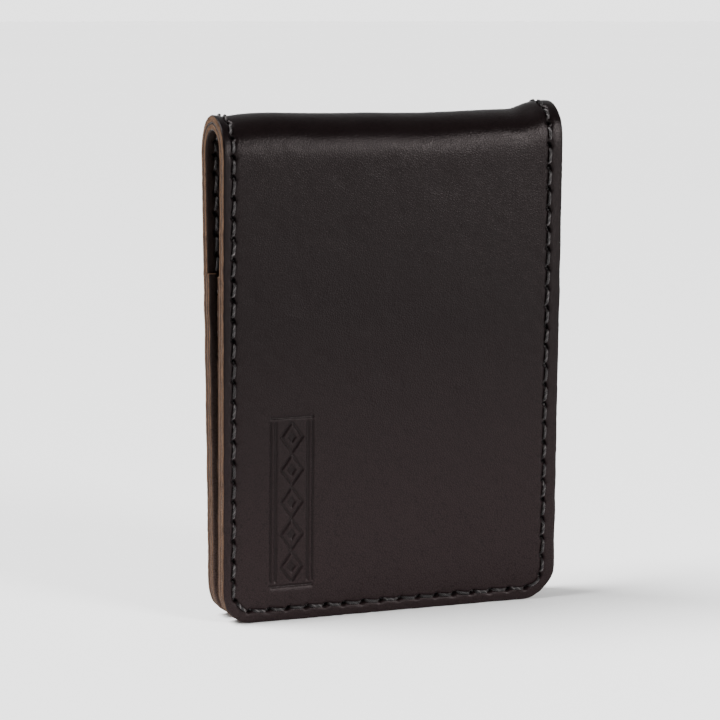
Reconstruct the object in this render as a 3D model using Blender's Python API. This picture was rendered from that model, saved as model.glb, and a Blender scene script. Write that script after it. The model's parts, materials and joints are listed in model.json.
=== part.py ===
"""A folded leather money clip, held shut by two magnets in each leaf.

One band of outer leather and one band of lining are glued and saddle-stitched together,
with a card pocket on the inside of each leaf. Both bands bend over the fold, so each is
built as a leaf panel, a row of fold strips that hinge on each other, and a leaf panel.

Metres, +Z up. X runs across the width and the front leaf faces -Y. The clip stands on the
free ends of its leaves, and the origin is midway between them.
"""

import math

import bmesh
import bpy
from mathutils import Matrix, Vector

# Overall sizes
WIDTH = 0.070
HEIGHT = 0.098
FOLD_RADIUS = 0.0073  # of the outer face, over the fold
MOUTH_GAP = 0.0020  # between the two card pockets, at the free ends
CORNER_RADIUS = 0.0065

# Leathers
OUTER_THICKNESS = 0.0016
LINING_THICKNESS = 0.0012
POCKET_THICKNESS = 0.0009
GLUE_LINE = 0.0001
POCKET_DEPTH = 0.0673  # from the free end to the pocket's open edge

# Fold strips, which turn on hinge lines in the outer face
FOLD_STRIPS = 6
STRIP_GAP = 0.0001

# Saddle stitching: two threads pass through each slot, and change faces there
SEAM_MARGIN = 0.0024  # from the leather's edge to the middle of the seam
STITCH_PITCH = 0.00387
THREAD_DIAMETER = 0.0004
THREAD_CLEARANCE = 0.00010
THREAD_APART = 0.00025  # between the two threads in a slot
SLOT_SLANT = math.radians(135)  # from the seam's direction
SLOT_TO_STRIP_END = 0.00015

# Magnets, each let into the flesh sides of the outer leather and the lining
MAGNET_DIAMETER = 0.014
MAGNET_THICKNESS = 0.0010
MAGNET_SPACING = 0.034
MAGNET_RISE = 0.017  # from the free end
MAGNET_CLEARANCE = 0.00006

CURVE_STEP = math.radians(12)  # of an arc, between neighbouring points
OVERCUT = 0.001  # how far a cutter stands out of what it cuts

# A slot is as long as two threads side by side, and each thread stands off its middle
THREAD_ROOM = THREAD_DIAMETER + 2 * THREAD_CLEARANCE
THREAD_OFFSET = (THREAD_DIAMETER + THREAD_APART) / 2
SLOT_LENGTH = THREAD_ROOM + 2 * THREAD_OFFSET
OFFSET_ALONG = -THREAD_OFFSET * math.cos(SLOT_SLANT)
OFFSET_ACROSS = THREAD_OFFSET * math.sin(SLOT_SLANT)
SLOT_REACH = (SLOT_LENGTH * abs(math.cos(SLOT_SLANT)) + THREAD_ROOM * math.sin(SLOT_SLANT)) / 2
HINGE_TO_SLOT = STRIP_GAP / 2 + SLOT_TO_STRIP_END + SLOT_REACH  # to the slot's middle

# Depths below the outer face
LINING_FACE = OUTER_THICKNESS + GLUE_LINE
UNPOCKETED = LINING_FACE + LINING_THICKNESS
POCKET_FACE = UNPOCKETED + GLUE_LINE
POCKETED = POCKET_FACE + POCKET_THICKNESS
THREAD_LEVEL = THREAD_CLEARANCE + THREAD_DIAMETER / 2
GROOVE_DEPTH = THREAD_ROOM
GROOVE_WIDTH = 2 * OFFSET_ACROSS + THREAD_ROOM
MAGNET_ROOM = MAGNET_THICKNESS + 2 * MAGNET_CLEARANCE
MAGNET_RECESS = (MAGNET_ROOM - GLUE_LINE) / 2

# Each leaf is a straight line from its free end to where it meets the fold's circle
HALF_MOUTH = POCKETED + MOUTH_GAP / 2
FOLD_CENTRE_Z = HEIGHT - FOLD_RADIUS
END_TO_CENTRE = math.hypot(HALF_MOUTH, FOLD_CENTRE_Z)
LEAF_LENGTH = math.sqrt(END_TO_CENTRE**2 - FOLD_RADIUS**2)
LEAF_LEAN = math.atan2(FOLD_CENTRE_Z, HALF_MOUTH) - math.acos(FOLD_RADIUS / END_TO_CENTRE)
STRIP_ANGLE = (math.pi + 2 * LEAF_LEAN) / FOLD_STRIPS
POCKET_EDGE_Z = POCKET_DEPTH - LEAF_LENGTH

# The seam on a leaf: down one side, round a corner, along the free end, and up again
SEAM_X = WIDTH / 2 - SEAM_MARGIN
SEAM_RADIUS = CORNER_RADIUS - SEAM_MARGIN
SEAM_SIDE = LEAF_LENGTH - CORNER_RADIUS
SEAM_TURN = SEAM_RADIUS * math.pi / 2
SEAM_TOTAL = 2 * (SEAM_SIDE + SEAM_TURN + SEAM_X - SEAM_RADIUS)
STITCHES = round((SEAM_TOTAL - 2 * HINGE_TO_SLOT) / STITCH_PITCH)

MATERIALS = {
    "outer_leather": ((0.028, 0.021, 0.020), 0.42, 0.0),
    "lining_leather": ((0.032, 0.023, 0.019), 0.55, 0.0),
    "pocket_leather": ((0.032, 0.023, 0.019), 0.52, 0.0),
    "thread": ((0.060, 0.054, 0.054), 0.60, 0.0),
    "magnet": ((0.560, 0.570, 0.580), 0.25, 1.0),
}

LEAF_MATERIALS = {
    "outer_leather": "outer_leather",
    "lining": "lining_leather",
    "card_pocket": "pocket_leather",
    "seam_thread_1": "thread",
    "seam_thread_2": "thread",
    "magnet_left": "magnet",
    "magnet_right": "magnet",
}
STRIP_MATERIALS = {
    "outer": "outer_leather",
    "lining": "lining_leather",
    "stitch_left": "thread",
    "stitch_right": "thread",
}


def clear_scene():
    for obj in list(bpy.data.objects):
        bpy.data.objects.remove(obj)


def new_collection(name):
    collection = bpy.data.collections.new(name)
    bpy.context.scene.collection.children.link(collection)
    return collection


def new_material(name):
    colour, roughness, metallic = MATERIALS[name]
    material = bpy.data.materials.new(name)
    material.use_nodes = True
    shader = material.node_tree.nodes["Principled BSDF"]
    shader.inputs["Base Color"].default_value = (*colour, 1)
    shader.inputs["Roughness"].default_value = roughness
    shader.inputs["Metallic"].default_value = metallic
    return material


# ---------------------------------------------------------------- shapes


def arc(centre, radius, start, end):
    """Points along an arc in a plane, both ends included."""
    steps = max(1, math.ceil(abs(end - start) / CURVE_STEP))
    angles = [start + (end - start) * i / steps for i in range(steps + 1)]
    return [centre + radius * Vector((math.cos(a), math.sin(a))) for a in angles]


def mesh_of(curve):
    """A curve's solid as a mesh, with its caps welded on."""
    maker = bpy.data.objects.new(curve.name, curve)
    bpy.context.scene.collection.objects.link(maker)
    graph = bpy.context.evaluated_depsgraph_get()
    mesh = bpy.data.meshes.new_from_object(maker.evaluated_get(graph))
    bpy.data.objects.remove(maker)
    shape = bmesh.new()
    shape.from_mesh(mesh)
    bmesh.ops.remove_doubles(shape, verts=shape.verts, dist=1e-6)
    bmesh.ops.recalc_face_normals(shape, faces=shape.faces)
    shape.to_mesh(mesh)
    shape.free()
    return mesh


def prism(name, outline, near, far, frame):
    """A flat outline, filled and carried along its normal from near to far, then placed by frame."""
    curve = bpy.data.curves.new(name, "CURVE")
    curve.dimensions = "2D"
    curve.fill_mode = "BOTH"
    curve.extrude = abs(far - near) / 2
    spline = curve.splines.new("POLY")
    spline.points.add(len(outline) - 1)
    for point, place in zip(spline.points, outline):
        point.co = (*place, 0, 1)
    spline.use_cyclic_u = True
    mesh = mesh_of(curve)
    mesh.transform(frame @ Matrix.Translation((0, 0, (near + far) / 2)))
    return mesh


# A leaf's outline is drawn in XZ, and its depth runs from the outer face at y = 0 towards -Y
LEAF_PLANE = Matrix(((1, 0, 0, 0), (0, 0, -1, 0), (0, 1, 0, 0), (0, 0, 0, 1)))
# A strip's section is drawn in YZ, and its width runs along X
STRIP_PLANE = Matrix(((0, 0, 1, 0), (1, 0, 0, 0), (0, 1, 0, 0), (0, 0, 0, 1)))


def tube(name, points, closed=False):
    """A thread through the points."""
    curve = bpy.data.curves.new(name, "CURVE")
    curve.dimensions = "3D"
    curve.bevel_depth = THREAD_DIAMETER / 2
    curve.bevel_resolution = 0
    curve.use_fill_caps = True
    spline = curve.splines.new("POLY")
    spline.points.add(len(points) - 1)
    for point, place in zip(spline.points, points):
        point.co = (*place, 1)
    spline.use_cyclic_u = closed
    return mesh_of(curve)


def blocks(name, size, frames):
    """One mesh of equal boxes, one for each frame."""
    shape = bmesh.new()
    for frame in frames:
        bmesh.ops.create_cube(shape, matrix=frame @ Matrix.Diagonal((*size, 1)))
    mesh = bpy.data.meshes.new(name)
    shape.to_mesh(mesh)
    shape.free()
    return mesh


def discs(name, diameter, thickness, places):
    """One mesh of discs that lie in the leaf, centred on the places."""
    shape = bmesh.new()
    for place in places:
        bmesh.ops.create_cone(
            shape,
            cap_ends=True,
            segments=32,
            radius1=diameter / 2,
            radius2=diameter / 2,
            depth=thickness,
            matrix=Matrix.Translation(place) @ Matrix.Rotation(math.pi / 2, 4, "X"),
        )
    mesh = bpy.data.meshes.new(name)
    shape.to_mesh(mesh)
    shape.free()
    return mesh


def cut(mesh, cutters):
    """The mesh with each cutter mesh taken out of it."""
    blank = bpy.data.objects.new(mesh.name, mesh)
    bpy.context.scene.collection.objects.link(blank)
    for cutter in cutters:
        tool = bpy.data.objects.new("cutter_" + cutter.name, cutter)
        tool.hide_render = True
        tool.display_type = "WIRE"
        cutter_collection.objects.link(tool)
        boolean = blank.modifiers.new(cutter.name, "BOOLEAN")
        boolean.operation = "DIFFERENCE"
        boolean.solver = "EXACT"
        boolean.object = tool
    graph = bpy.context.evaluated_depsgraph_get()
    finished = bpy.data.meshes.new_from_object(blank.evaluated_get(graph))
    bpy.data.objects.remove(blank)
    # A Boolean drops a triangle whose corners lie in a line, so its place is filled again
    shape = bmesh.new()
    shape.from_mesh(finished)
    bmesh.ops.holes_fill(shape, edges=shape.edges, sides=3)
    shape.to_mesh(finished)
    shape.free()
    return finished


# ---------------------------------------------------------------- seam


def seam(run):
    """The seam's place and direction in XZ, after run metres from its top at -X."""
    if run > SEAM_TOTAL / 2:
        place, direction = seam(SEAM_TOTAL - run)
        return Vector((-place.x, place.y)), Vector((direction.x, -direction.y))
    if run < SEAM_SIDE:
        return Vector((-SEAM_X, -run)), Vector((0, -1))
    if run < SEAM_SIDE + SEAM_TURN:
        turned = (run - SEAM_SIDE) / SEAM_RADIUS
        out = Vector((-math.cos(turned), -math.sin(turned)))
        centre = Vector((-SEAM_X + SEAM_RADIUS, -SEAM_SIDE))
        return centre + SEAM_RADIUS * out, Vector((-out.y, out.x))
    along = run - SEAM_SIDE - SEAM_TURN
    return Vector((-SEAM_X + SEAM_RADIUS + along, -SEAM_SIDE - SEAM_RADIUS)), Vector((1, 0))


def seam_point(run, across, depth):
    """A point beside the seam, across metres towards its inner side, at a depth in the leaf."""
    place, direction = seam(run)
    place = place + across * Vector((-direction.y, direction.x))
    return Vector((place.x, -depth, place.y))


def slot_runs():
    step = (SEAM_TOTAL - 2 * HINGE_TO_SLOT) / STITCHES
    return [HINGE_TO_SLOT + i * step for i in range(STITCHES + 1)]


def slot_frame(run):
    """The frame of a leaf's slot: X along the slot, Y through the leather."""
    place, direction = seam(run)
    turned = math.atan2(direction.y, direction.x) + SLOT_SLANT
    turn = Matrix.Rotation(-turned, 4, "Y")
    return Matrix.Translation((place.x, -POCKETED / 2, place.y)) @ turn


def leaf_slots():
    size = (SLOT_LENGTH, POCKETED + 2 * OVERCUT, THREAD_ROOM)
    return blocks("leaf_slots", size, [slot_frame(run) for run in slot_runs()])


def leaf_groove():
    """The channel that the outer stitches lie in, run out past the leaf's hinge line."""
    corners = [i * SEAM_TURN / 6 for i in range(7)]
    runs = [0.0, *(SEAM_SIDE + c for c in corners)]
    runs += [SEAM_TOTAL - run for run in reversed(runs)]
    edges = []
    for across in (-GROOVE_WIDTH / 2, GROOVE_WIDTH / 2):
        edge = [seam_point(run, across, 0).xz for run in runs]
        edge[0].y += OVERCUT
        edge[-1].y += OVERCUT
        edges.append(edge)
    outline = edges[0] + edges[1][::-1]
    return prism("leaf_groove", outline, -OVERCUT, GROOVE_DEPTH, LEAF_PLANE)


def stitch(start, end, side, depth):
    """The points of one stitch from slot to slot. Side is 1 or -1, for which thread it is."""
    first = start - side * OFFSET_ALONG
    last = end - side * OFFSET_ALONG
    turned = seam(first)[1].angle(seam(last)[1])
    steps = max(1, math.ceil(turned / (1.5 * CURVE_STEP)))
    runs = [first + (last - first) * i / steps for i in range(steps + 1)]
    return [seam_point(run, side * OFFSET_ACROSS, depth) for run in runs]


def seam_thread(name, side):
    """One of the leaf's two threads, on the outer face at every other stitch."""
    points = []
    outside = side > 0
    runs = slot_runs()
    for start, end in zip(runs, runs[1:]):
        lowest = min(seam(start)[0].y, seam(end)[0].y)
        stack = POCKETED if lowest < POCKET_EDGE_Z + SLOT_LENGTH else UNPOCKETED
        inside_level = stack + THREAD_LEVEL
        points += stitch(start, end, side, THREAD_LEVEL if outside else inside_level)
        outside = not outside
    return tube(name, points)


# ---------------------------------------------------------------- leaves


def leaf_outline(top):
    """A leaf from its top edge down to its rounded free end."""
    centre_x = WIDTH / 2 - CORNER_RADIUS
    centre_z = CORNER_RADIUS - LEAF_LENGTH
    right = arc(Vector((centre_x, centre_z)), CORNER_RADIUS, 0, -math.pi / 2)
    left = arc(Vector((-centre_x, centre_z)), CORNER_RADIUS, -math.pi / 2, -math.pi)
    return [Vector((WIDTH / 2, top)), *right, *left, Vector((-WIDTH / 2, top))]


def magnet_places(depth):
    rise = MAGNET_RISE - LEAF_LENGTH
    return [Vector((x, -depth, rise)) for x in (-MAGNET_SPACING / 2, MAGNET_SPACING / 2)]


def magnet_recesses(depth):
    """Cutters for both magnets, centred on a depth and as deep as the two leathers' recesses together."""
    bore = MAGNET_DIAMETER + 2 * MAGNET_CLEARANCE
    return discs("magnet_recesses", bore, MAGNET_ROOM, magnet_places(depth))


def magnet(place):
    return discs("magnet", MAGNET_DIAMETER, MAGNET_THICKNESS, [place])


def leaf_meshes():
    """The meshes of one leaf in its own frame: hinge line along X, outer face at y = 0, free end down."""
    top = -STRIP_GAP / 2
    magnet_depth = OUTER_THICKNESS + GLUE_LINE / 2
    outer = prism("outer_panel", leaf_outline(top), 0, OUTER_THICKNESS, LEAF_PLANE)
    lining = prism("lining_panel", leaf_outline(top), LINING_FACE, UNPOCKETED, LEAF_PLANE)
    pocket = prism("pocket_panel", leaf_outline(POCKET_EDGE_Z), POCKET_FACE, POCKETED, LEAF_PLANE)
    recesses = magnet_recesses(magnet_depth)
    left, right = magnet_places(magnet_depth)
    slots = leaf_slots()
    return {
        "outer_leather": cut(outer, [leaf_groove(), slots, recesses]),
        "lining": cut(lining, [slots, recesses]),
        "card_pocket": cut(pocket, [slots]),
        "seam_thread_1": seam_thread("seam_thread_1", 1),
        "seam_thread_2": seam_thread("seam_thread_2", -1),
        "magnet_left": magnet(left),
        "magnet_right": magnet(right),
    }


# ---------------------------------------------------------------- fold


def strip_point(angle, depth, x=0.0):
    """A point in a fold strip's frame, angle round the fold from the strip's hinge line."""
    radius = FOLD_RADIUS - depth
    return Vector((x, radius * math.cos(angle) - FOLD_RADIUS, radius * math.sin(angle)))


def strip_band(name, near, far, half_width, x=0.0, margin=STRIP_GAP / 2):
    """A curved band between two depths, as wide as twice half_width, with margin off each end."""
    inset = margin / FOLD_RADIUS
    centre = Vector((-FOLD_RADIUS, 0))
    outside = arc(centre, FOLD_RADIUS - near, inset, STRIP_ANGLE - inset)
    inside = arc(centre, FOLD_RADIUS - far, STRIP_ANGLE - inset, inset)
    return prism(name, outside + inside, x - half_width, x + half_width, STRIP_PLANE)


def strip_slots():
    """Slots for the fold strip's two stitches, one near each hinge line on both sides."""
    frames = []
    for inset in (HINGE_TO_SLOT, -HINGE_TO_SLOT):
        angle = (inset / FOLD_RADIUS) % STRIP_ANGLE
        for x in (-SEAM_X, SEAM_X):
            place = strip_point(angle, UNPOCKETED / 2, x)
            frames.append(Matrix.Translation(place) @ Matrix.Rotation(angle, 4, "X"))
    return blocks("strip_slots", (THREAD_ROOM, UNPOCKETED + 2 * OVERCUT, THREAD_ROOM), frames)


def strip_stitch(name, x):
    """One stitch on both faces of the fold strip, as a closed loop of thread."""
    first = HINGE_TO_SLOT / FOLD_RADIUS
    last = STRIP_ANGLE - first
    angles = [first, (first + last) / 2, last]
    outside = [strip_point(a, THREAD_LEVEL, x) for a in angles]
    inside = [strip_point(a, UNPOCKETED + THREAD_LEVEL, x) for a in reversed(angles)]
    return tube(name, outside + inside, closed=True)


def strip_meshes():
    """The meshes of one fold strip in its own frame: hinge line along X, outer face from y = 0."""
    outer = strip_band("outer_strip", 0, OUTER_THICKNESS, WIDTH / 2)
    lining = strip_band("lining_strip", LINING_FACE, UNPOCKETED, WIDTH / 2)
    slots = strip_slots()
    grooves = [
        strip_band("strip_groove", -OVERCUT, GROOVE_DEPTH, GROOVE_WIDTH / 2, x, -OVERCUT)
        for x in (-SEAM_X, SEAM_X)
    ]
    return {
        "outer": cut(outer, [*grooves, slots]),
        "lining": cut(lining, [slots]),
        "stitch_left": strip_stitch("stitch_left", -SEAM_X),
        "stitch_right": strip_stitch("stitch_right", SEAM_X),
    }


# ---------------------------------------------------------------- assembly


def hinge_empty(name, angle, turn=0.0):
    """An empty on a hinge line of the fold, at an angle from +Y, with its Y axis out of the outer face."""
    empty = bpy.data.objects.new(name, None)
    reach = FOLD_RADIUS * Vector((0, math.cos(angle), math.sin(angle)))
    empty.location = Vector((0, 0, FOLD_CENTRE_Z)) + reach
    empty.rotation_euler = (angle, 0, 0) if not turn else (math.pi - angle, 0, turn)
    empty.empty_display_size = WIDTH / 4
    part_collection.objects.link(empty)
    return empty


def place_part(name, mesh, hinge, material):
    """A part that shares its mesh with its twins, under the empty on its hinge line."""
    if not mesh.materials:
        mesh.materials.append(material)
    mesh.polygons.foreach_set("use_smooth", [False] * len(mesh.polygons))
    part = bpy.data.objects.new(name, mesh)
    part.parent = hinge
    part_collection.objects.link(part)
    return part


def build_leaf(side, meshes, hinge, materials):
    for name, mesh in meshes.items():
        place_part(f"{side}_{name}", mesh, hinge, materials[LEAF_MATERIALS[name]])


def build_fold(meshes, materials):
    for number in range(1, FOLD_STRIPS + 1):
        hinge = hinge_empty(f"fold_hinge_{number}", (number - 1) * STRIP_ANGLE - LEAF_LEAN)
        for name, mesh in meshes.items():
            place_part(f"fold_{name}_{number}", mesh, hinge, materials[STRIP_MATERIALS[name]])


clear_scene()
part_collection = new_collection("money_clip")
cutter_collection = new_collection("cutters")


def main():
    materials = {name: new_material(name) for name in MATERIALS}
    leaf = leaf_meshes()
    build_leaf("back", leaf, hinge_empty("back_leaf_root", -LEAF_LEAN), materials)
    build_fold(strip_meshes(), materials)
    front = hinge_empty("front_leaf_hinge", math.pi + LEAF_LEAN, turn=math.pi)
    build_leaf("front", leaf, front, materials)


main()
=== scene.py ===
"""The looks of a folded leather money clip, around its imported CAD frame.

Each leather is one sheet. A place in a sheet is (x, s, d): x across the width, s along the outer
face from the back leaf's free end, over the fold, to the front leaf's free end, and d below the
outer face. Everything is drawn in those three measures and then bent into the folded clip.
"""

import json
import math

import bmesh
import bpy
import numpy as np
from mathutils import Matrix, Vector

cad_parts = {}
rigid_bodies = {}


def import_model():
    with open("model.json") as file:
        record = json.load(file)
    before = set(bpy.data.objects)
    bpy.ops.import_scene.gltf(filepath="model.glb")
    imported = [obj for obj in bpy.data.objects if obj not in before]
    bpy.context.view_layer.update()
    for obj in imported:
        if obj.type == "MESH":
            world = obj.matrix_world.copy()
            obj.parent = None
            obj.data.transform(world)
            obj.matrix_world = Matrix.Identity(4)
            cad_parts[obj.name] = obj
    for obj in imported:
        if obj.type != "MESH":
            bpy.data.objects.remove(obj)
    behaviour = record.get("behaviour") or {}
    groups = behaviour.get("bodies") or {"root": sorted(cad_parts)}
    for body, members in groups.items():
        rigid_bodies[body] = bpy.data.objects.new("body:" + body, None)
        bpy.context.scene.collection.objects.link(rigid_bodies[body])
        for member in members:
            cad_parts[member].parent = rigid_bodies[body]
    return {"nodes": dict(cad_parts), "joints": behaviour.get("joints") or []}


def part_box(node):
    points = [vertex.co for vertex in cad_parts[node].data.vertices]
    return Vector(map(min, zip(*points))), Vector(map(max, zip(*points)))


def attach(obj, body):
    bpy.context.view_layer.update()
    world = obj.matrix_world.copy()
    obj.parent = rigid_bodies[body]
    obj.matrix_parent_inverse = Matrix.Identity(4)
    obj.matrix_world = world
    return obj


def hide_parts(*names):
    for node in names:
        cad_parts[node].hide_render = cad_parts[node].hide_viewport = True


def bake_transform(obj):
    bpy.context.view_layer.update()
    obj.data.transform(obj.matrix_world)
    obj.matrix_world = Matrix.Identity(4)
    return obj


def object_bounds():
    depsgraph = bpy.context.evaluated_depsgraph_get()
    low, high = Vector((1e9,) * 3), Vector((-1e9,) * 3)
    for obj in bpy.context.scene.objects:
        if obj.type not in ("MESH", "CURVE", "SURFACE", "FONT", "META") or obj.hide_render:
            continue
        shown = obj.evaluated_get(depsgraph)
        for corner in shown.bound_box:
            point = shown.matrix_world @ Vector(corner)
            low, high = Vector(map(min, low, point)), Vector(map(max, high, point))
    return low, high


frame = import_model()
cad_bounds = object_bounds()

# ---------------------------------------------------------------- the frame's measures

JOINTS = frame["joints"]
STRIPS = len(JOINTS) - 1
BODIES = [JOINTS[0]["parent"]] + [joint["child"] for joint in JOINTS]
WIDTH = cad_bounds[1][0] - cad_bounds[0][0]


def fold_circle():
    """The fold's radius and the angle at which each leaf leans, from two hinge lines."""
    y1, z1 = JOINTS[0]["pos_m"][1:]
    y2, z2 = JOINTS[1]["pos_m"][1:]
    centre = (y2**2 + z2**2 - y1**2 - z1**2) / (2 * (z2 - z1))
    return math.hypot(y1, z1 - centre), math.atan2(centre - z1, y1)


RADIUS, LEAN = fold_circle()
LEAF = JOINTS[0]["pos_m"][2] / math.cos(LEAN)  # from the free end to the fold
ARC = RADIUS * (math.pi + 2 * LEAN)
STRIP = ARC / STRIPS
SHEET = 2 * LEAF + ARC
POCKET_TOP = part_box("front_card_pocket")[1].z / math.cos(LEAN)

# ---------------------------------------------------------------- sizes, as in the CAD

OUTER = 0.0016
GLUE = 0.00005
LINING = 0.0013
POCKET = 0.0009
LINING_FACE = OUTER + GLUE
UNPOCKETED = LINING_FACE + LINING
POCKET_FACE = UNPOCKETED + GLUE
POCKETED = POCKET_FACE + POCKET

CORNER = 0.0065
MARGIN = 0.0024  # from the edge to the seam
PITCH = 0.00387  # between stitch holes
FACE_ROUND = 0.00034  # of an edge that shows, and was sanded
GLUE_ROUND = 0.00011  # of an edge against the next leather
FACE_EDGE = 0.0012  # how far in from the edge the edge's own small shapes reach

# The seam of a leaf, as in the CAD: down one side, round a corner, along the free end, up again
SEAM_SIDE = LEAF - CORNER
SEAM_TURN = (CORNER - MARGIN) * math.pi / 2
SEAM_ACROSS = WIDTH - 2 * CORNER
SEAM = 2 * (SEAM_SIDE + SEAM_TURN) + SEAM_ACROSS
STEP = SEAM / round(SEAM / PITCH)
SLANT = math.radians(38)  # of the awl's cut across the seam

rng = np.random.default_rng(20)  # for the threads; each surface of waves has its own seed


def smooth(t):
    t = np.clip(t, 0, 1)
    return t * t * (3 - 2 * t)


def waves(x, s, length, seed, count=9):
    """A smooth, uneven surface between about -1 and 1, whose bumps are about length long."""
    draw = np.random.default_rng(seed)
    total = np.zeros(np.broadcast(x, s).shape)
    for _ in range(count):
        turn = draw.uniform(0, 2 * math.pi)
        k = 2 * math.pi / (length * draw.uniform(0.7, 1.6))
        phase = draw.uniform(0, 2 * math.pi)
        total += np.sin(k * (x * math.cos(turn) + s * math.sin(turn)) + phase)
    return total / math.sqrt(count)


# ---------------------------------------------------------------- from the sheet to the clip

SEAM_SHIFT = 0.0004  # the stitching sits this far left of the middle
SHIFT_OVER = 0.0016  # in from the edge, over which that shift comes in

# The crown of the fold against its true round: (height, place across, reach) of each shape
CROWN_STEPS = ((0.00145, 0.0263, 0.0062), (0.00022, 0.014, 0.012))
CROWN_SWELLS = (
    (0.00020, 0.0342, 0.0011),
    (-0.00020, 0.0070, 0.0070),
    (0.00030, -0.0240, 0.0070),
    (-0.00025, -0.0320, 0.0022),
)
FRONT_SWELL = 0.00034  # how far the front of the fold stands out, towards the right
LEAF_WAVE, LEAF_WAVE_LENGTH, LEAF_WAVE_SEED = 0.00010, 0.055, 3


def fold_lift(x):
    """How far the crown of the fold stands above or below its true round, across the width."""
    lift = 0.0
    for height, place, reach in CROWN_STEPS:
        lift = lift + height * smooth((x - place) / reach)
    for height, place, reach in CROWN_SWELLS:
        lift = lift + height * np.exp(-(((x - place) / reach) ** 2))
    return lift


EASE = 0.0030  # the fold's curve comes and goes over this much either side of a leaf's end
FOLD_RADIUS = RADIUS - EASE**2 / (6 * RADIUS)
FOLD_ARC = FOLD_RADIUS * (math.pi + 2 * LEAN)


def eased(u):
    """0 below 0 and u above it, with the corner between them rounded."""
    return np.where(u < EASE, np.maximum(u + EASE, 0) ** 2 / (4 * EASE), u)


def turned(s):
    """The angle of the way out of the outer face, from the row's Y axis, at each s."""
    u = s - (SHEET - FOLD_ARC) / 2
    return -LEAN + (eased(u) - eased(u - FOLD_ARC)) / FOLD_RADIUS


def fold_path():
    """The outer face's course, in steps so small that straight lines join them well."""
    s = np.linspace(-0.002, SHEET + 0.002, 5001)
    middle = turned((s[1:] + s[:-1]) / 2)
    y = np.concatenate([[0], np.cumsum(-np.sin(middle))]) * (s[1] - s[0])
    z = np.concatenate([[0], np.cumsum(np.cos(middle))]) * (s[1] - s[0])
    return s, y - np.interp(SHEET / 2, s, y), z - np.interp(0, s, z)


PATH_S, PATH_Y, PATH_Z = fold_path()


def bend(x, s, d):
    """The clip's own shape: places in the sheet to points in the row frame, in metres."""
    x, s, d = np.broadcast_arrays(*(np.asarray(v, float) for v in (x, s, d)))
    inset = WIDTH / 2 - np.abs(x)
    across = x - SEAM_SHIFT * smooth(inset / SHIFT_OVER)
    out_y, out_z = np.cos(turned(s)), np.sin(turned(s))
    # The fold is squarer in front towards the right
    from_front = (SHEET - LEAF - s) / RADIUS
    swell = np.exp(-(((from_front - 0.62) / 0.40) ** 2))
    d = d - FRONT_SWELL * smooth((x - 0.006) / 0.016) * swell
    y = np.interp(s, PATH_S, PATH_Y) - d * out_y
    z = np.interp(s, PATH_S, PATH_Z) - d * out_z
    reach = ARC * (0.5 + 0.12 * smooth((x - 0.012) / 0.012))
    z = z + fold_lift(x) * np.exp(-((((s - SHEET / 2) / reach) ** 2) ** 1.5))
    # Neither leaf is quite flat
    y = y + LEAF_WAVE * waves(across, s, LEAF_WAVE_LENGTH, LEAF_WAVE_SEED) * out_y
    return np.stack([across, y, z], axis=-1)


# ---------------------------------------------------------------- the face's relief


def to_hole(run):
    """How far along the seam a place is from the nearest hole, in a leaf."""
    return (run / STEP + 0.5) % 1 * STEP - STEP / 2


PIT_ALONG, PIT_ACROSS, PIT_DEPTH = 0.00052, 0.00030, 0.00085
DRAW_REACH, DRAW_DEPTH = 0.0009, 0.00012  # of the hollow that the pull makes round a hole
CHANNEL_REACH, CHANNEL_DEPTH = 0.00042, 0.00013  # of the line pressed in under the thread


def pit_share(along, across):
    """1 in the middle of a stitch hole, which the awl cut aslant, and 0 outside it."""
    a = along * math.cos(SLANT) + across * math.sin(SLANT)
    b = across * math.cos(SLANT) - along * math.sin(SLANT)
    return np.exp(-((a / PIT_ALONG) ** 2) - (b / PIT_ACROSS) ** 2)


def seam_relief(along, across):
    """How deep the stitching draws the face in, from the distances to a hole and to the seam."""
    pit = PIT_DEPTH * pit_share(along, across)
    draw = DRAW_DEPTH * np.exp(-((along / DRAW_REACH) ** 2) - (across / DRAW_REACH) ** 2)
    channel = CHANNEL_DEPTH * np.exp(-((across / CHANNEL_REACH) ** 2))
    return pit + draw + channel


ORNAMENT_DEPTH = 0.00024
ORNAMENT_X, ORNAMENT_T = -0.0208, 0.0235  # its middle: across, and above the free end
ORNAMENT_UNIT = 0.0001  # of the sizes below
HALF_ROW, LOZENGE_PITCH = 160, 64
SIDE_LINES = ((33, 3.2), (43, 2.0))  # (distance from the middle, half the width)
SLOPE = 2.8  # the width of a pressed edge's slope


def ornament(x, t):
    """A plain debossed ornament: a row of lozenges between two pairs of lines."""
    u = (x - ORNAMENT_X) / ORNAMENT_UNIT
    v = (t - ORNAMENT_T) / ORNAMENT_UNIT
    inside = smooth((HALF_ROW - np.abs(v)) / 3)
    lines = np.zeros(np.broadcast(u, v).shape)
    for place, width in SIDE_LINES:
        lines = np.maximum(lines, smooth((width + 1.4 - np.abs(np.abs(u) - place)) / SLOPE))
    cell = (v / LOZENGE_PITCH + 0.5) % 1 * LOZENGE_PITCH - LOZENGE_PITCH / 2
    ring = np.abs(np.abs(u) / 22 + np.abs(cell) / 30 - 1) * 17
    core = (np.abs(u) / 9 + np.abs(cell) / 12 - 1) * 7
    row = np.maximum(smooth((3.6 - ring) / SLOPE), smooth(0.5 - core / 2.6))
    ends = smooth((4.0 - np.abs(np.abs(v) - (HALF_ROW + 6))) / SLOPE)
    ends = ends * smooth((46 - np.abs(u)) / 3)
    return ORNAMENT_DEPTH * np.maximum(np.maximum(lines, row) * inside, ends)


# ---------------------------------------------------------------- where the mesh needs points

HOLE_POINTS = [0, 0.00016, 0.00032, 0.00055, 0.00095]  # out from a hole, along the seam
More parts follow.
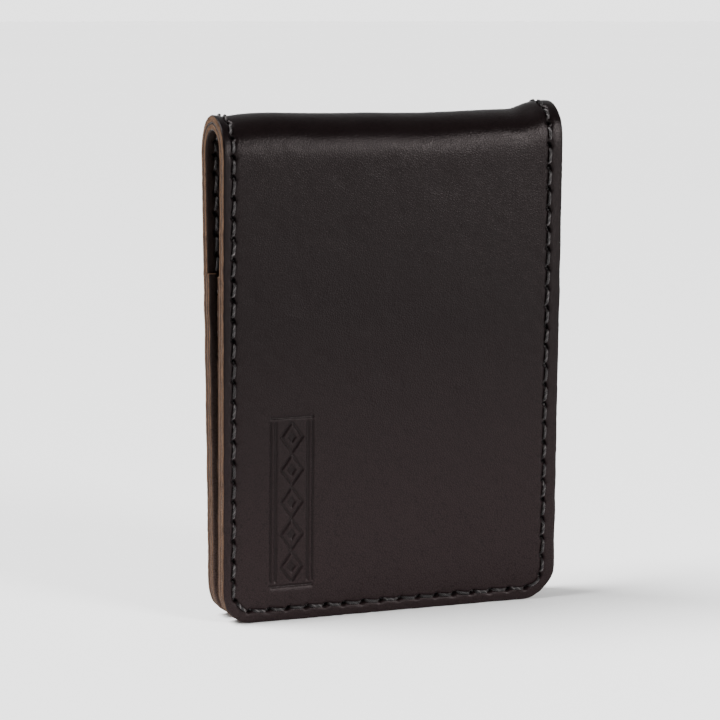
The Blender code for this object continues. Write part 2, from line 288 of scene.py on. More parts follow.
# In from the edge, close together at the seam
SIDE_OFFSETS = [CORNER, 0.0056, 0.0049, 0.0043, 0.0038, 0.00345, 0.0032, 0.0030, 0.00284, 0.0027]
SIDE_OFFSETS += [0.00256, 0.00242, 0.00228, 0.00214, 0.0020, 0.00184, 0.0016, 0.0013]
SIDE_OFFSETS += [0.00105, 0.0008]


def around_holes(start, end, holes):
    """Points from start to end, close together at the holes."""
    points = {start, end}
    for i, hole in enumerate(holes):
        points |= {hole + side * step for step in HOLE_POINTS for side in (-1, 1)}
        if i:
            points.add((holes[i - 1] + hole) / 2)
    return sorted(p for p in points if start - 1e-9 <= p <= end + 1e-9)


HOLES = [i * STEP for i in range(round(SEAM / STEP) + 1)]
SIDE_RUNS = around_holes(0, SEAM_SIDE, [h for h in HOLES if h < SEAM_SIDE + STEP])
TURN_RUNS = around_holes(
    SEAM_SIDE, SEAM_SIDE + SEAM_TURN, [h for h in HOLES if abs(h - SEAM_SIDE) < 3 * STEP]
)
ACROSS_START = SEAM_SIDE + SEAM_TURN
ACROSS_HOLES = [h for h in HOLES if abs(h - SEAM / 2) < SEAM_ACROSS / 2 + STEP]
ACROSS_RUNS = around_holes(ACROSS_START, ACROSS_START + SEAM_ACROSS, ACROSS_HOLES)
FOLD_RUNS = around_holes(0, ARC, [i * STRIP for i in range(STRIPS + 1)])


def merged(points, apart=0.00007):
    """The sorted points, without those that nearly repeat the one before."""
    kept = []
    for p in sorted(points):
        if not kept or p - kept[-1] > apart:
            kept.append(p)
    return kept


def leaf_rows(t_top, fine=None):
    """Heights above the free end, from the corner up to t_top, with more where fine says."""
    rows = [LEAF - run for run in SIDE_RUNS]
    rows = [t for t in rows if CORNER + 0.0001 < t < t_top - 0.0001]
    if fine:
        rows += list(np.arange(*fine))
    return merged([CORNER, *rows, t_top])


def columns(fine=None, coarse=False):
    """Places across the flat middle of the sheet, with more of them where fine says."""
    half = WIDTH / 2 - CORNER
    places = [run - ACROSS_START - half for run in ACROSS_RUNS]
    if coarse:
        places = list(np.linspace(-half, half, 30))
    if fine:
        places += list(np.arange(*fine))
    inner = merged(p for p in places if abs(p) < half - 0.0001)
    return np.array([-half, *inner, half])


# ---------------------------------------------------------------- leather


class Sheet:
    """One leather between two depths. It shows its outer face if shows is 1, its inner if -1."""

    def __init__(self, near, far, shows, columns, kind):
        self.near, self.far, self.shows = near, far, shows
        self.columns, self.kind = columns, kind
        self.places, self.raw, self.holes, self.faces, self.count = [], [], [], [], 0

    def covered(self, s):
        """1 where a card pocket hides the shown face."""
        t = np.minimum(s, SHEET - s)
        return (t < POCKET_TOP - 0.0003) * (self.kind == "lining")

    def profile(self, s):
        """Distances in from the edge, and depths below the shown face, at each s (a column)."""
        thick = self.far - self.near
        rounding = np.where(self.covered(s), GLUE_ROUND, FACE_ROUND)
        turn = np.arange(1, 7) / 6 * math.pi / 2
        wall = np.arange(1, 4) / 3
        tuck = np.arange(1, 4) / 3 * math.pi / 2
        flat = np.array(SIDE_OFFSETS) + 0 * s
        bulge = -0.00005 * np.sin(wall * math.pi * 0.9) + 0 * s
        hidden = thick - GLUE_ROUND
        offset = [flat, rounding * (1 - np.sin(turn)), bulge]
        offset.append(GLUE_ROUND * (1 - np.cos(tuck)) + 0 * s)
        below = [0 * flat, rounding * (1 - np.cos(turn)), rounding + (hidden - rounding) * wall]
        below += [hidden + GLUE_ROUND * np.sin(tuck) + 0 * s]
        offset.append(FACE_EDGE + 0 * s)
        below.append(thick + 0 * s)
        fade = np.clip(1 - np.concatenate(below, axis=1) / rounding, 0, 1)
        return np.concatenate(offset, axis=1), np.concatenate(below, axis=1), fade

    def relief(self, x, s, offset, along, across):
        """How far the shown face lies below its level."""
        total = 0.00003 * waves(x, s, 0.011, 21) + 0.000012 * waves(x, s, 0.0035, 22)
        total = total + seam_relief(along, across)
        total = total - 0.00007 * np.exp(-(((offset - FACE_EDGE) / 0.0006) ** 2))
        if self.kind == "outer":
            middle = (SHEET - s < LEAF) & (across > CORNER - MARGIN - 0.0002)
            total = total + np.where(middle, ornament(x, SHEET - s), 0)
        return np.where(self.covered(s), 0, total)

    def outline(self, x, s, offset):
        """The raw edge's small unevenness."""
        amount = 0.000035 * waves(x, s, 0.007, 11) + 0.00002 * waves(x, s, 0.0016, 12)
        return amount * smooth((FACE_EDGE - offset) / FACE_EDGE)

    def grid(self, x, s, below, raw, drop=0.0, hole=0.0):
        """Adds a grid of points; drop is how far a raw top edge has rounded away; hole darkens with
        painted shade.
        """
        x, s, below, raw = np.broadcast_arrays(x, s, np.maximum(below, drop), raw)
        raw = np.maximum(raw, smooth(np.broadcast_to(drop, raw.shape) / 0.0002))
        index = self.count + np.arange(x.size).reshape(x.shape)
        quads = [index[:-1, :-1], index[:-1, 1:], index[1:, 1:], index[1:, :-1]]
        self.faces += np.stack(quads, axis=-1).reshape(-1, 4).tolist()
        depth = self.near + below if self.shows > 0 else self.far - below
        self.places.append(np.stack([x, s, depth], axis=-1).reshape(-1, 3))
        self.raw.append(raw.reshape(-1))
        self.holes.append(np.broadcast_to(hole, x.shape).reshape(-1))
        self.count += x.size
        return index

    def side(self, s, sign, drop):
        """The edge and the seam along one side, at each s."""
        offset, below, fade = self.profile(s)
        x = sign * (WIDTH / 2 - offset)
        run = np.where(s <= LEAF, LEAF - s, s - LEAF - ARC)
        fold = ((s - LEAF) / STRIP + 0.5) % 1 * STRIP - STRIP / 2
        along = np.where((s > LEAF) & (s < LEAF + ARC), fold, to_hole(run)) * -sign
        face = self.relief(x, s, offset, along, offset - MARGIN)
        x = x + sign * self.outline(x, s, offset)
        # Painted shade in the stitch holes
        hole = pit_share(along, offset - MARGIN) * (1 - self.covered(s))
        raw = raw_share(below, self.far - self.near)
        return self.grid(x, s, below + face * fade, raw, drop, hole)

    def free_end(self, at_back):
        """The edge and the seam round both corners and along the free end."""
        half = WIDTH / 2 - CORNER
        turns = [(r - SEAM_SIDE) / SEAM_TURN * math.pi / 2 for r in TURN_RUNS]
        turns = merged([t for t in turns if t < math.pi / 2 - 0.02], 0.02)
        turns = np.array([*turns, math.pi / 2])
        middle = self.columns[1:-1]
        out_x = np.concatenate([-np.cos(turns), 0 * middle, np.cos(turns[::-1])])[:, None]
        out_t = np.concatenate([-np.sin(turns), -1 + 0 * middle, -np.sin(turns[::-1])])[:, None]
        from_x = np.concatenate([-half + 0 * turns, middle, half + 0 * turns])[:, None]
        turn_run = SEAM_SIDE + turns * (CORNER - MARGIN)
        run = [turn_run, ACROSS_START + half + middle, SEAM - turn_run[::-1]]
        along = to_hole(np.concatenate(run))[:, None]
        at_end = 0 * along + (0 if at_back else SHEET)
        offset, below, fade = self.profile(at_end)
        x = from_x + out_x * (CORNER - offset)
        t = CORNER + out_t * (CORNER - offset)
        s = t if at_back else SHEET - t
        face = self.relief(x, s, offset, along, offset - MARGIN)
        spread = self.outline(x, s, offset)
        x = x + spread * out_x
        s = s + spread * out_t * (1 if at_back else -1)
        # Painted shade in the stitch holes
        hole = pit_share(along, offset - MARGIN) * (1 - self.covered(s))
        raw = raw_share(below, self.far - self.near)
        return self.grid(x, s, below + face * fade, raw, 0.0, hole)

    def build(self, s, ends, drop=0.0):
        """Covers the rows of s. Each of the two ends is "free" or a straight raw "edge"."""
        s = np.asarray(s, float)[:, None]
        drop = np.asarray(drop, float) + 0 * s
        x = self.columns[None, :]
        far = CORNER + 0 * x + 0 * s
        face = self.relief(x + 0 * s, s + 0 * x, far, far, far)
        # Painted shade in the pressed ornament's hollows, carried by the hole attribute
        painted_mark_shade = ornament(x, SHEET - s) / ORNAMENT_DEPTH * 0.32 if self.kind == "outer" else 0.0
        inner = self.grid(x, s, face + drop, 0.0, drop, painted_mark_shade)
        left, right = self.side(s, -1, drop), self.side(s, 1, drop)
        edge = WIDTH / 2 - FACE_EDGE
        thick = self.far - self.near
        hidden = self.grid(np.linspace(-edge, edge, 29)[None, :], s, thick, 0.0, drop)
        for row, end in zip((0, -1), ends):
            across = list(hidden[row, -2:0:-1])
            if end == "free":
                self.faces.append([*self.free_end(row == 0)[:, -1], *across])
            else:
                self.faces.append([*left[row, ::-1], *inner[row, 1:-1], *right[row], *across])
        return self.welded()

    def welded(self):
        """The grids as one closed mesh, which remembers its places and its own normals."""
        places = np.concatenate(self.places)
        mesh = bpy.data.meshes.new(self.kind)
        mesh.from_pydata(bend(*places.T).tolist(), [], self.faces)
        place = mesh.attributes.new("sheet", "FLOAT_VECTOR", "POINT")
        place.data.foreach_set("vector", places.astype(np.float32).reshape(-1))
        # The hole attribute carries painted shade: dark in the stitch holes and in the pressed
        # ornament
        for name, values in (("raw", self.raw), ("hole", self.holes)):
            share = mesh.attributes.new(name, "FLOAT", "POINT")
            share.data.foreach_set("value", np.concatenate(values).astype(np.float32))
        edited = bmesh.new()
        edited.from_mesh(mesh)
        bmesh.ops.remove_doubles(edited, verts=edited.verts, dist=2e-6)
        bmesh.ops.recalc_face_normals(edited, faces=edited.faces)
        edited.to_mesh(mesh)
        edited.free()
        mesh.shade_smooth()
        normals = np.zeros(len(mesh.vertices) * 3, np.float32)
        mesh.vertex_normals.foreach_get("vector", normals)
        mesh.attributes.new("shade", "FLOAT_VECTOR", "POINT").data.foreach_set("vector", normals)
        return mesh


def raw_share(below, thick):
    """0 on the dyed face, 1 on the raw edge, and little where glue has soaked in."""
    glued = smooth((below - thick + 0.00026) / 0.0002)
    return smooth((below - 0.00010) / 0.00024) * (1 - 0.75 * glued)


CAP_INSET = 0.0008  # of a cut's cap from the leather's side edges
CAP_SHARE = 0.4  # of the leather's thickness that a cap has


def close_cuts(edited, place):
    """Closes each open cut with a rim that turns in to the leather's middle, and a cap."""
    rim = [edge for edge in edited.edges if edge.is_boundary]
    depths = [vert[place][2] for edge in rim for vert in edge.verts]
    middle = (min(depths) + max(depths)) / 2
    inner = {}
    for vert in {vert for edge in rim for vert in edge.verts}:
        x, s, d = vert[place]
        sunk = bend(x * (1 - CAP_INSET / (WIDTH / 2)), s, middle + CAP_SHARE * (d - middle))
        inner[vert] = edited.verts.new(sunk.tolist())
        inner[vert][place] = (x, s, middle)
    for edge in rim:
        a, b = edge.verts
        edited.faces.new([a, b, inner[b], inner[a]])
    caps = [edge for edge in edited.edges if edge.is_boundary]
    bmesh.ops.triangle_fill(edited, use_beauty=True, use_dissolve=False, edges=caps)


def part_of(whole, low, high, name):
    """The stretch of a sheet between two places, closed at both cuts and shaded as in the whole."""
    edited = bmesh.new()
    edited.from_mesh(whole)
    place = edited.verts.layers.float_vector["sheet"]
    outside = []
    for face in edited.faces:
        middle = sum(v[place][1] for v in face.verts) / len(face.verts)
        if not low < middle < high:
            outside.append(face)
    bmesh.ops.delete(edited, geom=outside, context="FACES")
    close_cuts(edited, place)
    bmesh.ops.recalc_face_normals(edited, faces=edited.faces)
    mesh = bpy.data.meshes.new(name)
    edited.to_mesh(mesh)
    edited.free()
    mesh.shade_smooth()
    return mesh


def own_normals(mesh):
    """Shades the mesh with the normals that it remembers."""
    normals = np.zeros(len(mesh.vertices) * 3, np.float32)
    mesh.attributes["shade"].data.foreach_get("vector", normals)
    mesh.normals_split_custom_set_from_vertices(normals.reshape(-1, 3).tolist())
    mesh.attributes.remove(mesh.attributes["shade"])


def new_object(name, mesh, *materials):
    obj = bpy.data.objects.new(name, mesh)
    for material in materials:
        mesh.materials.append(material)
    bpy.context.scene.collection.objects.link(obj)
    return obj


# ---------------------------------------------------------------- thread

STRANDS, RINGS, SIDES = 3, 40, 6
STRAND_RADIUS = 0.000135
TWIST_RADIUS = 0.000165  # from the thread's middle to a strand's
TWIST_LENGTH = 0.00125  # of one full turn
LIE, PLUNGE = 0.00018, 0.00115  # the thread's middle above the face, and its way down in a hole
DIP_START, DIP_LENGTH = 0.00112, 0.00088  # from a stitch's end, and over which it goes down


def seam_place(run):
    """The seam's place (x, t) at a run along a leaf's seam, and the direction towards the edge."""
    half = WIDTH / 2 - CORNER
    mirrored = run > SEAM / 2
    r = np.where(mirrored, SEAM - run, run)
    angle = np.clip((r - SEAM_SIDE) / (CORNER - MARGIN), 0, math.pi / 2)
    flat = np.maximum(r - ACROSS_START, 0)
    x = -half - (CORNER - MARGIN) * np.cos(angle) + flat
    t = CORNER - (CORNER - MARGIN) * np.sin(angle) + np.maximum(SEAM_SIDE - r, 0)
    sign = np.where(mirrored, -1, 1)
    return sign * x, t, -np.cos(angle) * sign, -np.sin(angle)


def thread_line(count, length):
    """For each stitch: distances along the seam from its middle, aside, and above the face."""
    u = np.linspace(-1, 1, RINGS)
    u = np.sign(u) * np.abs(u) ** 0.85
    along = u * (length / 2 - 0.00010)
    crown = length / 2 - DIP_START
    rise = LIE - PLUNGE * smooth((np.abs(along) - crown) / DIP_LENGTH)
    rise = rise + 0.00005 * (1 - (along / crown) ** 2) * (np.abs(along) < crown)
    tilt = 0.10 + 0.03 * rng.standard_normal((count, 1))
    aside = tilt * along + 0.00003 * rng.standard_normal((count, 1))
    rise = rise * (1 + 0.10 * rng.standard_normal((count, 1)))
    return along + 0 * aside, aside, rise


def thread_mesh(name, groups):
    """Three-strand stitches. A group is (middle runs, stitch length, place function, side)."""
    points, faces, twist, count = [], [], [], 0
    for middles, length, place, side in groups:
        along, aside, rise = thread_line(len(middles), length)
        phase = rng.uniform(0, 2 * math.pi, (len(middles), 1, 1))
        strand = np.arange(STRANDS)[None, :, None] * 2 * math.pi / STRANDS
        turn = phase + strand - side * along[:, None] / TWIST_LENGTH * 2 * math.pi
        squeeze = smooth((np.abs(along[:, None]) - length * 0.32) / 0.0006)
        apart = TWIST_RADIUS * (1 - 0.35 * squeeze)
        across = aside[:, None] + apart * np.cos(turn)
        above = rise[:, None] + apart * np.sin(turn)
        run = middles[:, None, None] + along[:, None] + 0 * turn
        centres = place(run, across, above, side)
        edgeward = place(run, across + 0.0002, above, side) - centres
        tangent = np.gradient(centres, axis=2)
        up = np.cross(tangent, edgeward)
        up /= np.linalg.norm(up, axis=-1, keepdims=True)
        aslant = np.cross(up, tangent)
        aslant /= np.linalg.norm(aslant, axis=-1, keepdims=True)
        ring = np.arange(SIDES) * 2 * math.pi / SIDES
        upward = up[..., None, :] * np.sin(ring)[:, None]
        around = upward + aslant[..., None, :] * np.cos(ring)[:, None]
        skin = centres[..., None, :] + STRAND_RADIUS * around
        tubes = len(middles) * STRANDS
        index = count + np.arange(tubes * RINGS * SIDES).reshape(tubes, RINGS, SIDES)
        after = np.roll(index, -1, axis=2)
        quads = [index[:, :-1], index[:, 1:], after[:, 1:], after[:, :-1]]
        faces += np.stack(quads, axis=-1).reshape(-1, 4).tolist()
        faces += index[:, 0].tolist() + index[:, -1, ::-1].tolist()
        points.append(skin.reshape(-1, 3))
        lengthwise = np.broadcast_to(run[..., None] + 0 * ring, skin.shape[:-1]).reshape(-1)
        spin = np.broadcast_to(ring + 0 * run[..., None], skin.shape[:-1]).reshape(-1)
        tube = np.repeat(np.arange(tubes), RINGS * SIDES) * 1.0
        twist.append(np.stack([lengthwise, spin, tube + len(points) * 500], axis=-1))
        count += tubes * RINGS * SIDES
    mesh = bpy.data.meshes.new(name)
    mesh.from_pydata(np.concatenate(points).tolist(), [], faces)
    edited = bmesh.new()
    edited.from_mesh(mesh)
    bmesh.ops.recalc_face_normals(edited, faces=edited.faces)
    edited.to_mesh(mesh)
    edited.free()
    fibre = mesh.attributes.new("fibre", "FLOAT_VECTOR", "POINT")
    fibre.data.foreach_set("vector", np.concatenate(twist).astype(np.float32).reshape(-1))
    mesh.shade_smooth()
    return mesh


def inner_level(t):
    """The depth of the inner face, on the card pocket or above it."""
    return POCKETED - (POCKETED - UNPOCKETED) * smooth((t - POCKET_TOP + 0.0004) / 0.0008)


def leaf_seam(at_back):
    def place(run, across, above, side):
        x, t, out_x, out_t = seam_place(run)
        t = t + out_t * across
        depth = -above if side > 0 else inner_level(t) + above
        return bend(x + out_x * across, t if at_back else SHEET - t, depth)

    return place


def fold_seam(sign):
    def place(run, across, above, side):
        depth = -above if side > 0 else UNPOCKETED + above
        return bend(sign * (WIDTH / 2 - MARGIN + across), run, depth)

    return place


# ---------------------------------------------------------------- materials


def rgba(colour, share=1):
    return tuple(share * v for v in colour) + (1,)


class Nodes:
    """A material's node tree, with short ways to add to it."""

    def __init__(self, name):
        self.material = bpy.data.materials.new(name)
        self.material.use_nodes = True
        self.tree = self.material.node_tree
        self.shader = self.tree.nodes["Principled BSDF"]

    def link(self, value, socket):
        if isinstance(value, bpy.types.NodeSocket):
            self.tree.links.new(value, socket)
        else:
            socket.default_value = value

    def set(self, name, value):
        """Sets an input of the shader to a number, a colour or another node's output."""
        self.link(value, self.shader.inputs[name])

    def attribute(self, name, output):
        node = self.tree.nodes.new("ShaderNodeAttribute")
        node.attribute_name = name
        return node.outputs[output]

    def object_place(self):
        return self.tree.nodes.new("ShaderNodeTexCoord").outputs["Object"]

    def axis(self, vector, name):
        node = self.tree.nodes.new("ShaderNodeSeparateXYZ")
        self.link(vector, node.inputs[0])
        return node.outputs[name]

    def math(self, operation, a, b, clamp=False):
        node = self.tree.nodes.new("ShaderNodeMath")
        node.operation, node.use_clamp = operation, clamp
        for socket, value in zip(node.inputs, (a, b)):
            self.link(value, socket)
        return node.outputs[0]

    def scaled(self, vector, scale):
        node = self.tree.nodes.new("ShaderNodeVectorMath")
        node.operation = "MULTIPLY"
        self.link(vector, node.inputs[0])
        node.inputs[1].default_value = scale
        return node.outputs[0]

    def noise(self, vector, size, detail=3.0, rough=0.55, distort=0.0):
        """Noise whose features are about size metres across."""
        node = self.tree.nodes.new("ShaderNodeTexNoise")
        self.link(vector, node.inputs["Vector"])
        node.inputs["Scale"].default_value = 1 / size
        node.inputs["Detail"].default_value = detail
        node.inputs["Roughness"].default_value = rough
        node.inputs["Distortion"].default_value = distort
        return node.outputs["Fac"]

    def cells(self, vector, size):
        """The distance to the nearest border between cells of about size metres."""
        node = self.tree.nodes.new("ShaderNodeTexVoronoi")
        node.feature = "DISTANCE_TO_EDGE"
        self.link(vector, node.inputs["Vector"])
        node.inputs["Scale"].default_value = 1 / size
        return node.outputs["Distance"]

    def ramp(self, value, *stops):
        node = self.tree.nodes.new("ShaderNodeValToRGB")
        self.link(value, node.inputs["Fac"])
        for _ in range(len(stops) - 2):
            node.color_ramp.elements.new(0.5)
        for element, (at, colour) in zip(node.color_ramp.elements, stops):
            element.position = at
            element.color = (*colour, 1) if isinstance(colour, tuple) else (colour,) * 3 + (1,)
        return node.outputs["Color"]

    def mix(self, share, a, b):
        node = self.tree.nodes.new("ShaderNodeMix")
        node.data_type = "RGBA"
        self.link(share, node.inputs["Factor"])
        self.link(a, node.inputs["A"])
        self.link(b, node.inputs["B"])
        return node.outputs["Result"]

    def mix_value(self, share, a, b):
        node = self.tree.nodes.new("ShaderNodeMix")
        self.link(share, node.inputs["Factor"])
        self.link(a, node.inputs["A"])
        self.link(b, node.inputs["B"])
        return node.outputs["Result"]

    def bump(self, height, metres, normal=None):
        node = self.tree.nodes.new("ShaderNodeBump")
        node.inputs["Distance"].default_value = metres
        node.inputs["Strength"].default_value = 1.0
        self.link(height, node.inputs["Height"])
        if normal:
            self.link(normal, node.inputs["Normal"])
        return node.outputs["Normal"]


PAINTED_GLOW_HEIGHT = 0.058  # above the free end, below which the face is painted ever lighter, a painted reflection of the floor
PAINTED_GLOW_LIGHT = 3.3  # how much lighter than the light dye the painted reflection makes the face at the free end
PAINTED_PIT_SHADE = (0.001, 0.001, 0.001, 1)  # painted shade, inside a stitch hole and in the pressed ornament's hollows


def leather_material(name, dark, light, grain, rough):
    """Dyed full-grain leather, which turns into bare brown fibres where the raw attribute is 1."""
    n = Nodes(name)
    place = n.attribute("sheet", "Vector")
    ragged = n.math("MULTIPLY", n.math("SUBTRACT", n.noise(place, 0.00035), 0.5), 0.7)
    edge = n.ramp(n.math("ADD", n.attribute("raw", "Fac"), ragged), (0.30, 0.0), (0.75, 1.0))
    pores = n.cells(place, grain)
    creases = n.noise(place, grain * 2.4, 4, 0.6, 0.8)

    face = n.mix(n.noise(place, 0.012, 4), rgba(dark), rgba(light))
    # Painted reflection of the floor: the face is painted lighter towards the free end
    s = n.axis(place, "Y")
    height = n.math("MINIMUM", s, n.math("SUBTRACT", SHEET, s))
    painted_glow = n.math("SUBTRACT", 1.0, n.math("DIVIDE", height, PAINTED_GLOW_HEIGHT), clamp=True)
    face = n.mix(painted_glow, face, rgba(light, PAINTED_GLOW_LIGHT))
    face = n.mix(n.ramp(pores, (0.0, 0.75), (0.10, 0.0)), face, rgba(dark, 0.55))

    fibres = n.noise(n.scaled(place, (1, 1, 7)), 0.0022, 5, 0.65)
    flecks = n.noise(place, 0.00016, 2)
    bare = n.mix(n.ramp(fibres, (0.35, 0.0), (0.68, 1.0)), rgba(RAW_DARK), rgba(RAW_LIGHT))
    bare = n.mix(n.ramp(flecks, (0.30, 0.85), (0.50, 0.0)), bare, rgba(RAW_DARK, 0.35))

    # Painted shade: the colour turns nearly black in the stitch holes and darker in the pressed
    # ornament
    hole = n.ramp(n.attribute("hole", "Fac"), (0.12, 0.0), (0.55, 0.9))
    n.set("Base Color", n.mix(hole, n.mix(edge, face, bare), PAINTED_PIT_SHADE))
    polish = n.math("ADD", n.math("MULTIPLY", n.noise(place, 0.005, 3), 0.14), rough - 0.07)
    n.set("Roughness", n.mix_value(edge, polish, 0.85))
    n.set("Specular IOR Level", 0.078)
    n.set("Specular Tint", (1.0, 0.88, 0.87, 1))
    creased = n.math("MULTIPLY", creases, 0.8)
    pebble = n.math("ADD", n.ramp(pores, (0.0, 0.0), (0.22, 1.0)), creased)
    normal = n.bump(pebble, 0.000015)
    normal = n.bump(n.noise(place, 0.00013, 2), 0.000012, normal)
    fuzz = n.math("MULTIPLY", n.math("ADD", fibres, flecks), edge)
    n.set("Normal", n.bump(fuzz, 0.00010, normal))
    return n.material


def thread_material():
    """Waxed polyester thread: fine filaments along each strand, one strand of three painted bright
    as a painted highlight, the other two darker.
    """
    n = Nodes("waxed_thread")
    fibre = n.attribute("fibre", "Vector")
    filaments = n.noise(n.scaled(fibre, (1600, 1.6, 1)), 1.0, 3)
    shade = n.ramp(n.noise(n.scaled(fibre, (120, 0.3, 1)), 1.0, 2), (0.38, 0.9), (0.60, 0.0))
    tube = n.math("ADD", n.axis(fibre, "Z"), 0.5)
    # Painted highlight: one strand in three keeps its bright colour to stand in for glints along
    # the twist; the other two are painted darker, and random mottling darkens stretches of thread
    strand = n.math("DIVIDE", n.math("MODULO", tube, 3.0), 3.0)
    mottle_and_painted_sheen = n.math("MAXIMUM", shade, n.ramp(strand, (0.25, 0.0), (0.40, 0.8)))
    colour = n.mix(filaments, (0.010, 0.0085, 0.0085, 1), (0.130, 0.117, 0.117, 1))
    n.set("Base Color", n.mix(mottle_and_painted_sheen, colour, (0.003, 0.0026, 0.0026, 1)))
    n.set("Roughness", n.ramp(filaments, (0.3, 0.32), (0.7, 0.50)))
    n.set("Specular IOR Level", 0.20)
    n.set("Normal", n.bump(filaments, 0.00003))
    return n.material


def magnet_material():
    """Nickel-plated magnet, sewn in between the leathers."""
    n = Nodes("nickel_plate")
    marks = n.noise(n.object_place(), 0.0009, 4)
    n.set("Base Color", n.mix(marks, (0.50, 0.49, 0.46, 1), (0.72, 0.71, 0.68, 1)))
    n.set("Metallic", 1.0)
    n.set("Roughness", n.ramp(marks, (0.3, 0.22), (0.7, 0.42)))
    n.set("Normal", n.bump(marks, 0.00001))
    return n.material


def floor_material():
    n = Nodes("white_sweep")
    shade = n.noise(n.object_place(), 0.8, 2)
    n.set("Base Color", n.mix(shade, (0.86, 0.86, 0.86, 1), (0.90, 0.90, 0.90, 1)))
    n.set("Roughness", 0.9)
    n.set("Specular IOR Level", 0.1)
    return n.material


# ---------------------------------------------------------------- camera, floor and light

def aimed(name, data, azimuth, elevation, distance, target):
    """Adds a camera or light aimed at target. Azimuth is from straight in front (-Y) to +X."""
    a, e = math.radians(azimuth), math.radians(elevation)
    towards = Vector((math.sin(a) * math.cos(e), -math.cos(a) * math.cos(e), math.sin(e)))
    obj = bpy.data.objects.new(name, data)
    obj.location = Vector(target) + towards * distance
    obj.rotation_euler = (-towards).to_track_quat("-Z", "Y").to_euler()
    bpy.context.scene.collection.objects.link(obj)
    return obj


lens = bpy.data.cameras.new("camera")
lens.sensor_width, lens.lens, lens.clip_start = 36, 130.6, 0.01
camera = aimed("camera", lens, -20.61, 7.94, 0.5124, (-0.0050, 0.0, 0.04968))
bpy.context.scene.camera = camera


def sweep():
    """A floor all round that the world's white meets at the horizon."""
    rings = [0.0, 0.3, 0.8, 2.0, 5.0, 12.0]
    points, faces, around = [(0, 0, 0)], [], 64
    for r in rings[1:]:
        for i in range(around):
            a = 2 * math.pi * i / around
            points.append((r * math.cos(a), r * math.sin(a), 0))
    for i in range(around):
        faces.append([0, 1 + i, 1 + (i + 1) % around])
    for k in range(len(rings) - 2):
        first = 1 + k * around
        for i in range(around):
            j = (i + 1) % around
            faces.append([first + i, first + around + i, first + around + j, first + j])
    mesh = bpy.data.meshes.new("sweep")
    mesh.from_pydata(points, [], faces)
    return new_object("sweep", mesh, floor_material())


sweep()


key = bpy.data.lights.new("key", "AREA")
key.shape, key.size, key.size_y, key.energy = "RECTANGLE", 0.26, 0.26, 11.3
aimed("key", key, 29.5, 18.8, 0.9, (0, 0, 0.05))
sun = bpy.data.lights.new("overhead", "SUN")
sun.energy, sun.angle = 9.0, math.radians(34)
sun_object = bpy.data.objects.new("overhead", sun)
sun_object.rotation_euler = (math.radians(-8), math.radians(-31), 0)
bpy.context.scene.collection.objects.link(sun_object)


def studio_world():
    """White paper behind, and a dimmer room in front and overhead."""
    world = bpy.data.worlds.new("studio")
    world.use_nodes = True
    tree = world.node_tree
    background = tree.nodes["Background"]
    direction = tree.nodes.new("ShaderNodeTexCoord").outputs["Generated"]
    parts = tree.nodes.new("ShaderNodeSeparateXYZ")
    tree.links.new(direction, parts.inputs[0])
    both = tree.nodes.new("ShaderNodeMath")
    both.operation = "MULTIPLY"
    # Behind the clip, and then above it
    ranges = (("Y", -0.2, 0.6, 0.85, 2.7), ("Z", 0.08, 0.30, 1.0, 0.22))
    for socket, (axis, *values) in zip(both.inputs, ranges):
        share = tree.nodes.new("ShaderNodeMapRange")
        share.interpolation_type = "SMOOTHSTEP"
        for name, value in zip(("From Min", "From Max", "To Min", "To Max"), values):
            share.inputs[name].default_value = value
        tree.links.new(parts.outputs[axis], share.inputs["Value"])
        tree.links.new(share.outputs["Result"], socket)
    tree.links.new(both.outputs[0], background.inputs["Strength"])
    background.inputs["Color"].default_value = (1, 1, 1, 1)
    return world


bpy.context.scene.world = studio_world()


# ---------------------------------------------------------------- the clip

FACE_DARK, FACE_LIGHT = (0.0025, 0.0015, 0.0016), (0.0041, 0.0026, 0.0027)
RAW_DARK, RAW_LIGHT = (0.024, 0.0125, 0.0070), (0.115, 0.064, 0.036)
outer_look = leather_material("black_leather", FACE_DARK, FACE_LIGHT, 0.00045, 0.31)
LINING_DARK, LINING_LIGHT = (0.0085, 0.0056, 0.0048), (0.0165, 0.0108, 0.0092)
lining_look = leather_material("dark_lining", LINING_DARK, LINING_LIGHT, 0.0005, 0.5)
thread_look = thread_material()
magnet_look = magnet_material()

back_rows = leaf_rows(LEAF)
fold_rows = [LEAF + run for run in FOLD_RUNS]
plain_rows = merged(back_rows + fold_rows + [SHEET - t for t in back_rows])
marked = leaf_rows(LEAF, (0.0068, 0.0404, 0.00016))
marked_rows = merged(back_rows + fold_rows + [SHEET - t for t in marked])
marked_columns = columns((-0.0258, -0.0158, 0.00013))


def hinge_band(k):
    """Two points on either side of hinge k, between which the leather over it bends."""
    s = LEAF + k * STRIP
    places = bend(0.0, np.array([s - STRIP * 0.49, s + STRIP * 0.49]), 0.0)
    return places[0], places[1]


def folded_leather(sheet, rows, look, slot):
    """The whole sheet, as one piece for each hinge of the fold."""
    whole = sheet.build(rows, ("free", "free"))
    cuts = [-1, *(LEAF + (k + 0.5) * STRIP for k in range(STRIPS)), SHEET + 1]
    strips = [f"fold_{sheet.kind}_{k}" for k in range(1, STRIPS + 1)]
    nodes = [f"back_{slot}", *strips, f"front_{slot}"]
    for k in range(STRIPS + 1):
        name = f"{sheet.kind}_sheet_{k + 1}"
        mesh = part_of(whole, cuts[k], cuts[k + 1], name)
        own_normals(mesh)
        piece = new_object(name, mesh, look)
        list(hinge_band(k))
        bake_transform(piece)
        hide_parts(*(nodes[k : k + 1] if k < STRIPS else nodes[k:]))


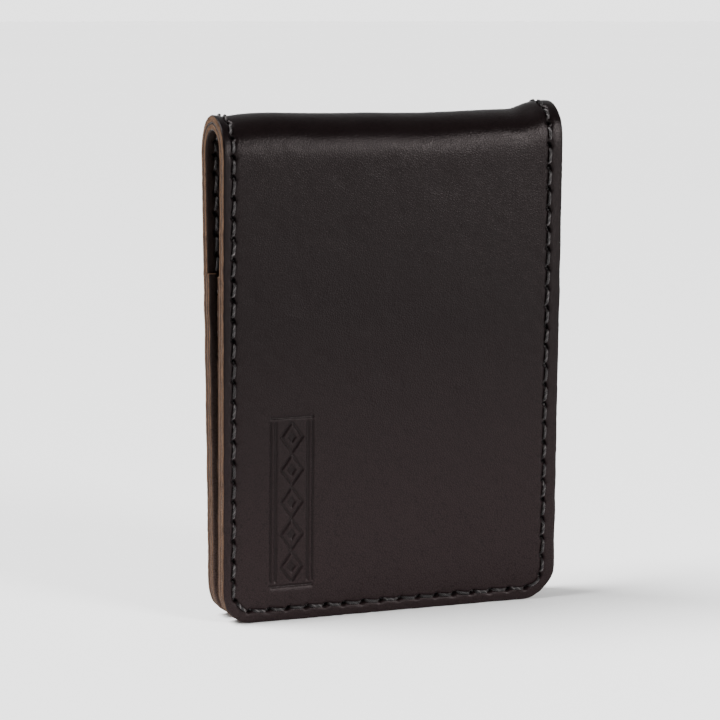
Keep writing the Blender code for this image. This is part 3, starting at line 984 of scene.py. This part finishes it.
outer = Sheet(0, OUTER, 1, marked_columns, "outer")
folded_leather(outer, marked_rows, outer_look, "outer_leather")
lining = Sheet(LINING_FACE, UNPOCKETED, -1, columns(coarse=True), "lining")
folded_leather(lining, plain_rows, lining_look, "lining")

top_turn = np.arange(0, 7) / 6 * math.pi / 2
POCKET_ROUND = 0.00030
pocket_rows = [t for t in leaf_rows(POCKET_TOP) if t < POCKET_TOP - POCKET_ROUND - 0.00005]
pocket_rows = np.array([*pocket_rows, *(POCKET_TOP - POCKET_ROUND * (1 - np.sin(top_turn)))])
pocket_drop = np.zeros((len(pocket_rows), 1))
pocket_drop[-7:, 0] = POCKET_ROUND * (1 - np.cos(top_turn))
for side, body in (("back", BODIES[0]), ("front", BODIES[-1])):
    sheet = Sheet(POCKET_FACE, POCKETED, -1, columns(), "pocket")
    if side == "back":
        mesh = sheet.build(pocket_rows, ("free", "edge"), pocket_drop)
    else:
        mesh = sheet.build(SHEET - pocket_rows[::-1], ("edge", "free"), pocket_drop[::-1])
    own_normals(mesh)
    pocket = new_object(f"{side}_pocket_leather", mesh, lining_look)
    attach(pocket, body)
    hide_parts(f"{side}_card_pocket")

leaf_middles = (np.arange(round(SEAM / STEP)) + 0.5) * STEP
for side, body in (("back", BODIES[0]), ("front", BODIES[-1])):
    place = leaf_seam(side == "back")
    groups = [(leaf_middles, STEP, place, 1), (leaf_middles, STEP, place, -1)]
    stitches = new_object(f"{side}_stitches", thread_mesh(f"{side}_stitches", groups), thread_look)
    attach(stitches, body)
    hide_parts(f"{side}_seam_thread_1", f"{side}_seam_thread_2")

FOLD_STITCH_GAP = 0.00036  # so that neighbours stay apart when the clip is open
for k in range(STRIPS):
    middle = np.array([LEAF + (k + 0.5) * STRIP])
    long = STRIP - FOLD_STITCH_GAP
    groups = [(middle, long, fold_seam(sign), face) for sign in (-1, 1) for face in (1, -1)]
    name = f"fold_stitches_{k + 1}"
    stitches = new_object(name, thread_mesh(name, groups), thread_look)
    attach(stitches, BODIES[k + 1])
    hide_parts(f"fold_stitch_left_{k + 1}", f"fold_stitch_right_{k + 1}")

for name, node in frame["nodes"].items():
    if "magnet" in name:
        node.data.materials.clear()
        node.data.materials.append(magnet_look)
